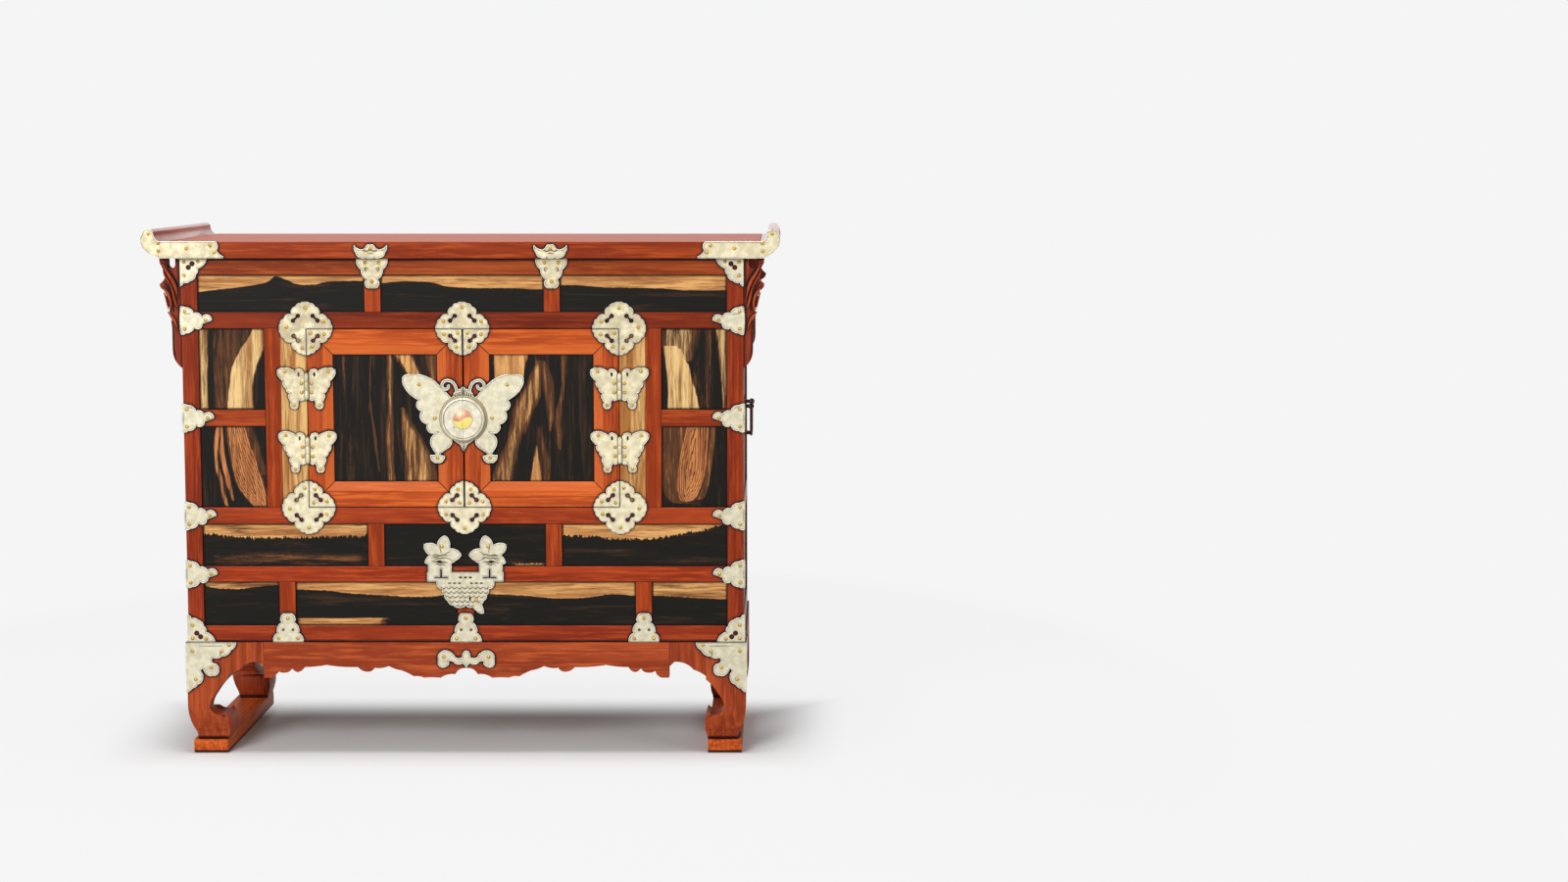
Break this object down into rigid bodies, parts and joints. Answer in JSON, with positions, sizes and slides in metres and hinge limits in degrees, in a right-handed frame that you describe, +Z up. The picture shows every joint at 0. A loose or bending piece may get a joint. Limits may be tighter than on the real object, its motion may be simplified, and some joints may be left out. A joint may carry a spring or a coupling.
{
  "type": "korean head-side chest",
  "caption": "Low Korean head-side chest: scrolled top ends, dark veneered panels, side-hung doors on butterfly hinges, bail side handles and a scroll-footed stand on runners.",
  "frame": {"origin": "on the floor under the middle of the chest", "axes": "+Z up, the front with the doors faces -Y, +X to the right seen from the front"},
  "size_m": [0.997, 0.43, 0.834],
  "materials": {
    "red_wood": "satin red-brown lacquer over straight grain",
    "dark_persimmon": "lacquered black persimmon veneer with tan flames",
    "pale_persimmon": "satin yellow-tan veneer with brown streaks",
    "plain_panel": "plain red-stained board",
    "nickel_silver": "soft polished nickel silver",
    "brass_nail": "domed yellow brass",
    "dark_bronze": "dark patinated bronze"
  },
  "bodies": {
    "carcass": {"top_board": "red_wood", "scroll_end_left": "red_wood", "scroll_end_right": "red_wood", "front_posts": "red_wood", "back_posts": "red_wood", "bottom_rail": "red_wood", "lower_rail": "red_wood", "sill_rail": "red_wood", "upper_rail": "red_wood", "top_rail": "red_wood", "front_uprights": "red_wood", "bay_rails": "red_wood", "side_rails": "red_wood", "back_rails": "red_wood", "front_legs": "red_wood", "back_legs": "red_wood", "front_apron": "red_wood", "back_apron": "red_wood", "side_aprons": "red_wood", "runners": "red_wood", "wing_brackets": "red_wood", "upper_row_panels": "dark_persimmon", "middle_row_panels": "dark_persimmon", "lower_row_panels": "dark_persimmon", "side_bay_panels": "dark_persimmon", "pale_strips": "pale_persimmon", "side_panels": "plain_panel", "back_panels": "plain_panel", "floor_board": "plain_panel", "door_catches": "plain_panel", "frame_lobed_plates": "nickel_silver", "frame_hinge_wings": "nickel_silver", "hinge_pins": "nickel_silver", "junction_plates": "nickel_silver", "corner_plates": "nickel_silver", "leg_plates": "nickel_silver", "top_end_plates": "nickel_silver", "cloud_plates": "nickel_silver", "drop_plates": "nickel_silver", "base_plates": "nickel_silver", "apron_ornament": "nickel_silver", "basket_plate": "nickel_silver", "frame_nails": "brass_nail", "handle_mounts": "dark_bronze"},
    "left_door": {"left_door_frame": "red_wood", "left_door_panel": "dark_persimmon", "left_door_plates": "nickel_silver", "left_hinge_wings": "nickel_silver", "left_butterfly": "nickel_silver", "left_drum": "nickel_silver", "left_door_nails": "brass_nail"},
    "right_door": {"right_door_frame": "red_wood", "right_door_panel": "dark_persimmon", "right_door_plates": "nickel_silver", "right_hinge_wings": "nickel_silver", "right_butterfly": "nickel_silver", "right_drum": "nickel_silver", "right_door_nails": "brass_nail"},
    "left_bail": {"left_handle": "dark_bronze"},
    "right_bail": {"right_handle": "dark_bronze"}
  },
  "joints": [
    {"name": "left_door_hinge", "type": "hinge", "parent": "carcass", "child": "left_door", "pos_m": [-0.246, -0.2023, 0.53725], "axis": [0, 0, -1], "range_deg": [0, 120]},
    {"name": "right_door_hinge", "type": "hinge", "parent": "carcass", "child": "right_door", "pos_m": [0.246, -0.2023, 0.53725], "axis": [0, 0, 1], "range_deg": [0, 120]},
    {"name": "left_bail_hinge", "type": "hinge", "parent": "carcass", "child": "left_bail", "pos_m": [-0.451, 0, 0.54205], "axis": [0, 1, 0], "range_deg": [0, 170]},
    {"name": "right_bail_hinge", "type": "hinge", "parent": "carcass", "child": "right_bail", "pos_m": [0.451, 0, 0.54205], "axis": [0, -1, 0], "range_deg": [0, 170]}
  ]
}
